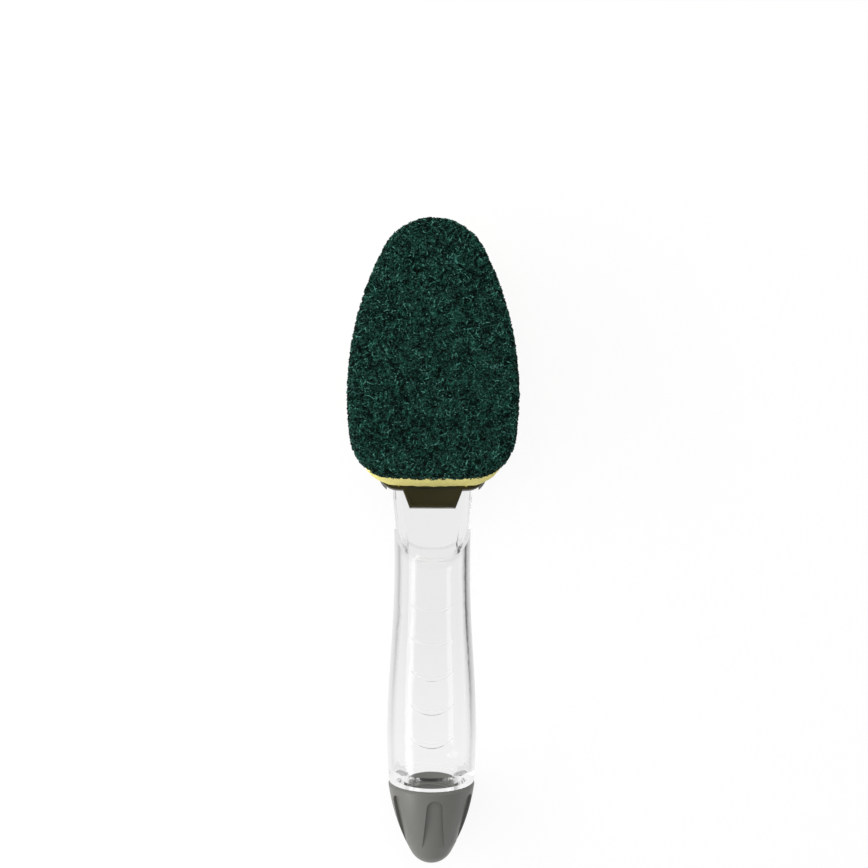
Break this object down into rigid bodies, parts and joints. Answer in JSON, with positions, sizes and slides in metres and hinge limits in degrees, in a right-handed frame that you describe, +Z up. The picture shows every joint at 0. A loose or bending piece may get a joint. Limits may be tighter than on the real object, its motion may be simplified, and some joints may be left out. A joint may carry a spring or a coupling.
{
  "type": "dish wand",
  "caption": "Soap-filled dish wand: clear bottle handle with a grey screw cap, sloping clear neck and a slide-on head of olive base, yellow sponge and dark green scouring pad.",
  "frame": {"origin": "middle of the wand's underside, on the table that it lies on with its scrubbing pad up", "axes": "+Y along the wand towards the tip of the head, +Z up, +X to the right with the tip pointing away"},
  "size_m": [0.065, 0.2504, 0.0525],
  "materials": {
    "clear_plastic": "gloss",
    "clear_silicone": "satin",
    "white_plastic": "satin",
    "olive_plastic": "satin",
    "glue": "gloss",
    "yellow_sponge": "matte",
    "green_pad": "matte",
    "grey_plastic": "matte",
    "grey_rubber": "matte"
  },
  "bodies": {
    "handle": {"handle_bottle": "clear_plastic", "mount_neck": "clear_plastic", "dispensing_valve": "clear_silicone", "valve_retainer": "white_plastic"},
    "head": {"refill_base": "olive_plastic", "base_glue": "glue", "sponge": "yellow_sponge", "pad_glue": "glue", "scouring_pad": "green_pad"},
    "cap_seal": {"cap_gasket": "grey_rubber"},
    "cap": {"end_cap": "grey_plastic"}
  },
  "joints": [
    {"name": "head_slide", "type": "slide", "parent": "handle", "child": "head", "axis": [0, 0.9694, -0.2455], "range_m": [0, 0.05]},
    {"name": "cap_lift", "type": "slide", "parent": "handle", "child": "cap_seal", "axis": [0, -0.9978, -0.0661], "range_m": [0, 0.00959]},
    {"name": "cap_turn", "type": "hinge", "parent": "cap_seal", "child": "cap", "pos_m": [0, -0.10088, 0.01629], "axis": [0, -0.9978, -0.0661], "range_deg": [0, 1080]}
  ],
  "couplings": [
    {"joint": "cap_turn", "follows": "cap_lift", "rad_per_m": 1963.5}
  ]
}
